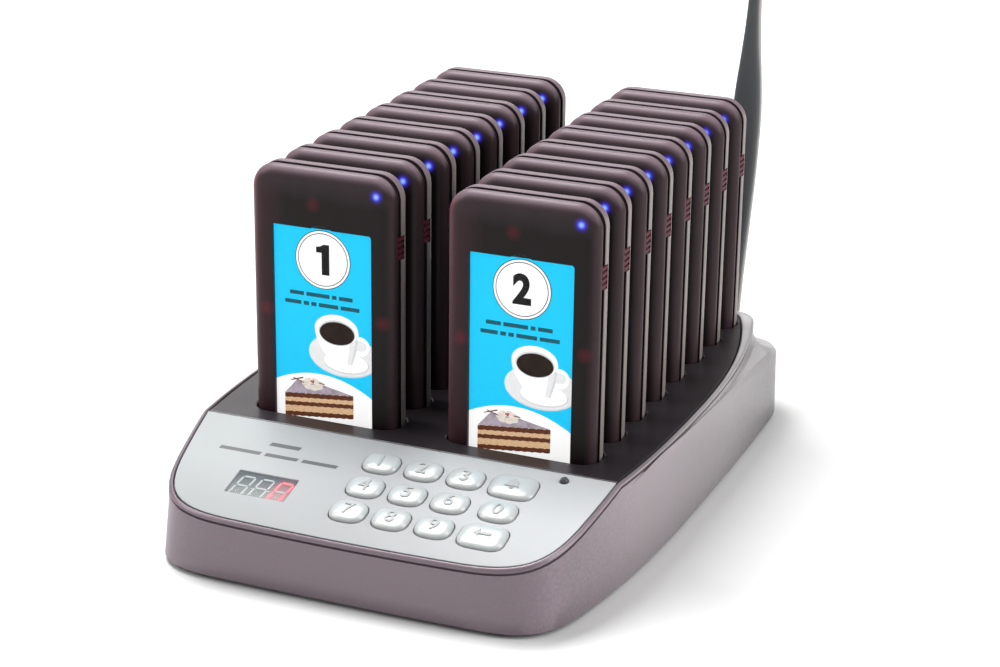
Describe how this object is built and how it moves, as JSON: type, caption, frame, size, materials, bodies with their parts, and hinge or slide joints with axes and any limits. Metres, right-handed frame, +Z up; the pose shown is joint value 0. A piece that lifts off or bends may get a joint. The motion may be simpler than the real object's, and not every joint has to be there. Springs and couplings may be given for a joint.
{
  "type": "queue pager set",
  "caption": "Keypad charging base with pockets in two columns holding slab pagers that lift out, and a tilting paddle antenna.",
  "frame": {"origin": "middle of the base's footprint on the table, at the middle foot's face", "axes": "+Z up, -Y is the front with the keypad, +X is the right of a person facing the keypad"},
  "size_m": [0.1704, 0.2776, 0.1816],
  "materials": {
    "housing": "satin metallic mauve paint over moulded plastic",
    "deck": "satin espresso plastic with a wine tint",
    "panel": "silver-white satin sheet",
    "window": "clear smoked lens",
    "display": "seven-segment module, grey face with pale segments",
    "key": "pearl silver plating",
    "rubber": "moulded rubber",
    "board": "green solder mask on glass epoxy",
    "component": "moulded component bodies",
    "contact": "gold flash",
    "steel": "plated steel",
    "led": "clear epoxy",
    "jack": "black moulded socket with a metal pin",
    "antenna": "dark grey moulding with a glossy edge",
    "cover": "fine matte moulding",
    "pager": "satin espresso plastic, faintly translucent",
    "label": "printed card, cyan with a white disc and a number",
    "battery": "foil pouch",
    "grille": "ribbed wine-red insert"
  },
  "bodies": {
    "base": {"base_bottom_cover": "cover", "base_housing": "housing", "slot_deck": "deck", "keypad_panel": "panel", "display_window": "window", "display_module": "display", "keypad_mat": "rubber", "main_board": "board", "board_chips": "component", "charging_boards": "board", "charging_pins": "contact", "status_led": "led", "beeper": "component", "dc_jack": "jack", "antenna_socket": "contact", "rubber_feet": "rubber", "case_screws": "steel", "board_screws": "steel"},
    "antenna_base": {"antenna_elbow": "antenna", "antenna_hinge_pin": "steel"},
    "antenna": {"antenna_blade": "antenna"},
    "key_1": {"key_1": "key"},
    "key_2": {"key_2": "key"},
    "key_3": {"key_3": "key"},
    "key_4": {"key_4": "key"},
    "key_5": {"key_5": "key"},
    "key_6": {"key_6": "key"},
    "key_7": {"key_7": "key"},
    "key_8": {"key_8": "key"},
    "key_9": {"key_9": "key"},
    "key_0": {"key_0": "key"},
    "key_call": {"key_call": "key"},
    "key_delete": {"key_delete": "key"},
    "pager_01": {"pager_01_front_shell": "pager", "pager_01_rear_shell": "pager", "pager_01_card_window": "window", "pager_01_label_card": "label", "pager_01_circuit_board": "board", "pager_01_battery": "battery", "pager_01_vibration_motor": "steel", "pager_01_buzzer": "component", "pager_01_leds": "led", "pager_01_charge_contacts": "contact", "pager_01_side_grille": "grille", "pager_01_screws": "steel"},
    "pager_02": {"pager_02": "pager"},
    "pager_03": {"pager_03": "pager"},
    "pager_04": {"pager_04": "pager"},
    "pager_05": {"pager_05": "pager"},
    "pager_06": {"pager_06": "pager"},
    "pager_07": {"pager_07": "pager"},
    "pager_08": {"pager_08": "pager"},
    "pager_09": {"pager_09": "pager"},
    "pager_10": {"pager_10": "pager"},
    "pager_11": {"pager_11": "pager"},
    "pager_12": {"pager_12": "pager"},
    "pager_13": {"pager_13": "pager"},
    "pager_14": {"pager_14": "pager"},
    "pager_15": {"pager_15": "pager"},
    "pager_16": {"pager_16": "pager"}
  },
  "joints": [
    {"name": "pager_01_lift", "type": "slide", "parent": "base", "child": "pager_01", "axis": [0, 0, 1], "range_m": [0, 0.12]},
    {"name": "pager_02_lift", "type": "slide", "parent": "base", "child": "pager_02", "axis": [0, 0, 1], "range_m": [0, 0.12]},
    {"name": "pager_03_lift", "type": "slide", "parent": "base", "child": "pager_03", "axis": [0, 0, 1], "range_m": [0, 0.12]},
    {"name": "pager_04_lift", "type": "slide", "parent": "base", "child": "pager_04", "axis": [0, 0, 1], "range_m": [0, 0.12]},
    {"name": "pager_05_lift", "type": "slide", "parent": "base", "child": "pager_05", "axis": [0, 0, 1], "range_m": [0, 0.12]},
    {"name": "pager_06_lift", "type": "slide", "parent": "base", "child": "pager_06", "axis": [0, 0, 1], "range_m": [0, 0.12]},
    {"name": "pager_07_lift", "type": "slide", "parent": "base", "child": "pager_07", "axis": [0, 0, 1], "range_m": [0, 0.12]},
    {"name": "pager_08_lift", "type": "slide", "parent": "base", "child": "pager_08", "axis": [0, 0, 1], "range_m": [0, 0.12]},
    {"name": "pager_09_lift", "type": "slide", "parent": "base", "child": "pager_09", "axis": [0, 0, 1], "range_m": [0, 0.12]},
    {"name": "pager_10_lift", "type": "slide", "parent": "base", "child": "pager_10", "axis": [0, 0, 1], "range_m": [0, 0.12]},
    {"name": "pager_11_lift", "type": "slide", "parent": "base", "child": "pager_11", "axis": [0, 0, 1], "range_m": [0, 0.12]},
    {"name": "pager_12_lift", "type": "slide", "parent": "base", "child": "pager_12", "axis": [0, 0, 1], "range_m": [0, 0.12]},
    {"name": "pager_13_lift", "type": "slide", "parent": "base", "child": "pager_13", "axis": [0, 0, 1], "range_m": [0, 0.12]},
    {"name": "pager_14_lift", "type": "slide", "parent": "base", "child": "pager_14", "axis": [0, 0, 1], "range_m": [0, 0.12]},
    {"name": "pager_15_lift", "type": "slide", "parent": "base", "child": "pager_15", "axis": [0, 0, 1], "range_m": [0, 0.12]},
    {"name": "pager_16_lift", "type": "slide", "parent": "base", "child": "pager_16", "axis": [0, 0, 1], "range_m": [0, 0.12]},
    {"name": "key_1_press", "type": "slide", "parent": "base", "child": "key_1", "axis": [0, 0.2756, -0.9613], "range_m": [0, 0.0012], "stiffness_N_per_m": 400, "springref_m": -0.0005},
    {"name": "key_2_press", "type": "slide", "parent": "base", "child": "key_2", "axis": [0, 0.2756, -0.9613], "range_m": [0, 0.0012], "stiffness_N_per_m": 400, "springref_m": -0.0005},
    {"name": "key_3_press", "type": "slide", "parent": "base", "child": "key_3", "axis": [0, 0.2756, -0.9613], "range_m": [0, 0.0012], "stiffness_N_per_m": 400, "springref_m": -0.0005},
    {"name": "key_4_press", "type": "slide", "parent": "base", "child": "key_4", "axis": [0, 0.2756, -0.9613], "range_m": [0, 0.0012], "stiffness_N_per_m": 400, "springref_m": -0.0005},
    {"name": "key_5_press", "type": "slide", "parent": "base", "child": "key_5", "axis": [0, 0.2756, -0.9613], "range_m": [0, 0.0012], "stiffness_N_per_m": 400, "springref_m": -0.0005},
    {"name": "key_6_press", "type": "slide", "parent": "base", "child": "key_6", "axis": [0, 0.2756, -0.9613], "range_m": [0, 0.0012], "stiffness_N_per_m": 400, "springref_m": -0.0005},
    {"name": "key_7_press", "type": "slide", "parent": "base", "child": "key_7", "axis": [0, 0.2756, -0.9613], "range_m": [0, 0.0012], "stiffness_N_per_m": 400, "springref_m": -0.0005},
    {"name": "key_8_press", "type": "slide", "parent": "base", "child": "key_8", "axis": [0, 0.2756, -0.9613], "range_m": [0, 0.0012], "stiffness_N_per_m": 400, "springref_m": -0.0005},
    {"name": "key_9_press", "type": "slide", "parent": "base", "child": "key_9", "axis": [0, 0.2756, -0.9613], "range_m": [0, 0.0012], "stiffness_N_per_m": 400, "springref_m": -0.0005},
    {"name": "key_0_press", "type": "slide", "parent": "base", "child": "key_0", "axis": [0, 0.2756, -0.9613], "range_m": [0, 0.0012], "stiffness_N_per_m": 400, "springref_m": -0.0005},
    {"name": "key_call_press", "type": "slide", "parent": "base", "child": "key_call", "axis": [0, 0.2756, -0.9613], "range_m": [0, 0.0012], "stiffness_N_per_m": 400, "springref_m": -0.0005},
    {"name": "key_delete_press", "type": "slide", "parent": "base", "child": "key_delete", "axis": [0, 0.2756, -0.9613], "range_m": [0, 0.0012], "stiffness_N_per_m": 400, "springref_m": -0.0005},
    {"name": "antenna_swivel", "type": "hinge", "parent": "base", "child": "antenna_base", "pos_m": [0.0535, 0.129, 0.014], "axis": [0, 1, 0], "range_deg": [-90, 90]},
    {"name": "antenna_tilt", "type": "hinge", "parent": "antenna_base", "child": "antenna", "pos_m": [0.0535, 0.136, 0.014], "axis": [-1, 0, 0], "range_deg": [-5, 85]}
  ]
}
